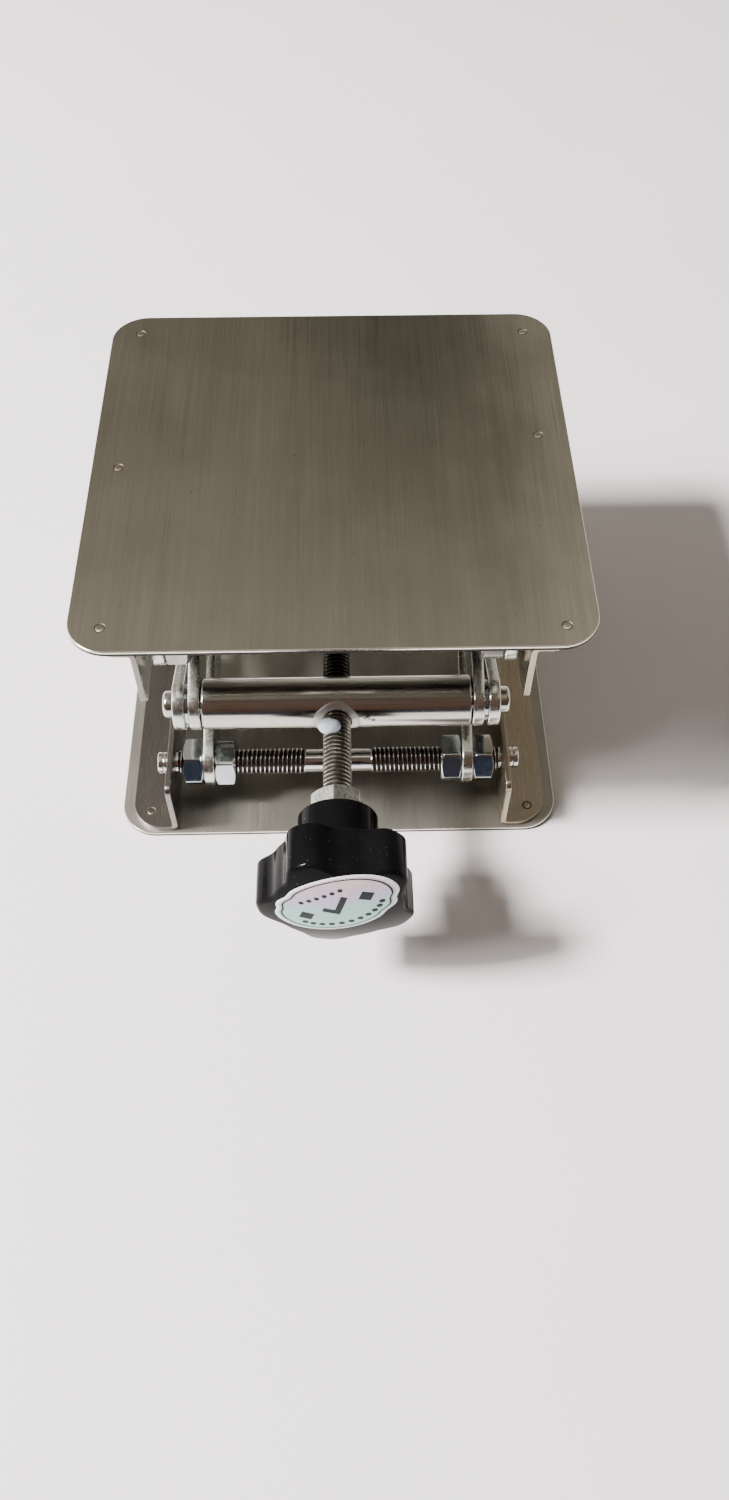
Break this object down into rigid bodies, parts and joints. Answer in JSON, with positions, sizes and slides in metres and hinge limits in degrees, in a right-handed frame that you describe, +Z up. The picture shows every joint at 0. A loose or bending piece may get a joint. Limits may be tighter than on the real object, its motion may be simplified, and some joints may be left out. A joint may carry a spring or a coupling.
{
  "type": "laboratory scissor jack",
  "caption": "Square steel support platform on stacked scissor arms, raised by a star-knob lead screw between two crossbars.",
  "frame": {"origin": "centre of the base plate's underside", "axes": "+Z up through the platform, -Y towards the knob, +X to the right as seen from the knob"},
  "size_m": [0.1, 0.1377, 0.066],
  "materials": {
    "plate_steel": "brushed",
    "rail_steel": "satin",
    "arm_zinc": "zinc plated",
    "hardware_zinc": "zinc plated",
    "bar_steel": "turned, polished",
    "screw_steel": "threaded, lightly oiled",
    "knob_plastic": "moulded, glossy rim and satin face",
    "label_foil": "iridescent foil"
  },
  "bodies": {
    "base": {"base_plate": "plate_steel", "base_rail_left": "rail_steel", "base_rail_right": "rail_steel"},
    "lower_inner_link": {"lower_inner_arm_left": "arm_zinc", "lower_inner_arm_right": "arm_zinc", "front_base_rod": "hardware_zinc", "front_base_nuts": "hardware_zinc", "lower_centre_rivets": "hardware_zinc", "lower_centre_washers": "hardware_zinc"},
    "lower_outer_link": {"lower_outer_arm_left": "arm_zinc", "lower_outer_arm_right": "arm_zinc", "rear_base_rod": "hardware_zinc", "rear_base_nuts": "hardware_zinc"},
    "rear_bar": {"rear_crossbar": "bar_steel", "rear_bar_spacers": "hardware_zinc", "thrust_washers": "hardware_zinc"},
    "upper_outer_link": {"upper_outer_arm_left": "arm_zinc", "upper_outer_arm_right": "arm_zinc", "front_top_rod": "hardware_zinc", "front_top_nuts": "hardware_zinc", "upper_centre_rivets": "hardware_zinc", "upper_centre_spacers": "hardware_zinc"},
    "upper_inner_link": {"upper_inner_arm_left": "arm_zinc", "upper_inner_arm_right": "arm_zinc", "rear_top_rod": "hardware_zinc", "rear_top_nuts": "hardware_zinc"},
    "platform": {"top_plate": "plate_steel", "top_rail_left": "rail_steel", "top_rail_right": "rail_steel"},
    "front_bar": {"front_crossbar": "bar_steel", "front_bar_washers": "hardware_zinc"},
    "screw": {"lead_screw": "screw_steel", "screw_end_nut": "hardware_zinc", "knob_lock_nut": "hardware_zinc", "knob": "knob_plastic", "knob_label": "label_foil"}
  },
  "joints": [
    {"name": "scissor_fold", "type": "hinge", "parent": "base", "child": "lower_inner_link", "pos_m": [0, -0.0372, 0.011], "axis": [1, 0, 0], "range_deg": [-8.2, 41.5]},
    {"name": "lower_cross_pivot", "type": "hinge", "parent": "lower_inner_link", "child": "lower_outer_link", "pos_m": [0, -0.00135, 0.022], "axis": [1, 0, 0], "range_deg": [-83, 16.4]},
    {"name": "rear_bar_pivot", "type": "hinge", "parent": "lower_inner_link", "child": "rear_bar", "pos_m": [0, 0.0345, 0.033], "axis": [1, 0, 0], "range_deg": [-41.5, 8.2]},
    {"name": "upper_outer_pivot", "type": "hinge", "parent": "lower_inner_link", "child": "upper_outer_link", "pos_m": [0, 0.0345, 0.033], "axis": [1, 0, 0], "range_deg": [-83, 16.4]},
    {"name": "upper_cross_pivot", "type": "hinge", "parent": "upper_outer_link", "child": "upper_inner_link", "pos_m": [0, -0.00135, 0.044], "axis": [1, 0, 0], "range_deg": [-16.4, 83]},
    {"name": "platform_pivot", "type": "hinge", "parent": "upper_outer_link", "child": "platform", "pos_m": [0, -0.0372, 0.055], "axis": [1, 0, 0], "range_deg": [-8.2, 41.5]},
    {"name": "front_bar_pivot", "type": "hinge", "parent": "lower_outer_link", "child": "front_bar", "pos_m": [0, -0.0372, 0.033], "axis": [1, 0, 0], "range_deg": [-8.2, 41.5]},
    {"name": "knob_spin", "type": "hinge", "parent": "rear_bar", "child": "screw", "pos_m": [0, 0.0345, 0.033], "axis": [0, -1, 0], "continuous": true}
  ],
  "couplings": [
    {"joint": "lower_cross_pivot", "follows": "scissor_fold", "ratio": -2},
    {"joint": "rear_bar_pivot", "follows": "scissor_fold", "ratio": -1},
    {"joint": "upper_outer_pivot", "follows": "scissor_fold", "ratio": -2},
    {"joint": "upper_cross_pivot", "follows": "scissor_fold", "ratio": 2},
    {"joint": "platform_pivot", "follows": "scissor_fold", "ratio": 1},
    {"joint": "front_bar_pivot", "follows": "scissor_fold", "ratio": 1}
  ]
}
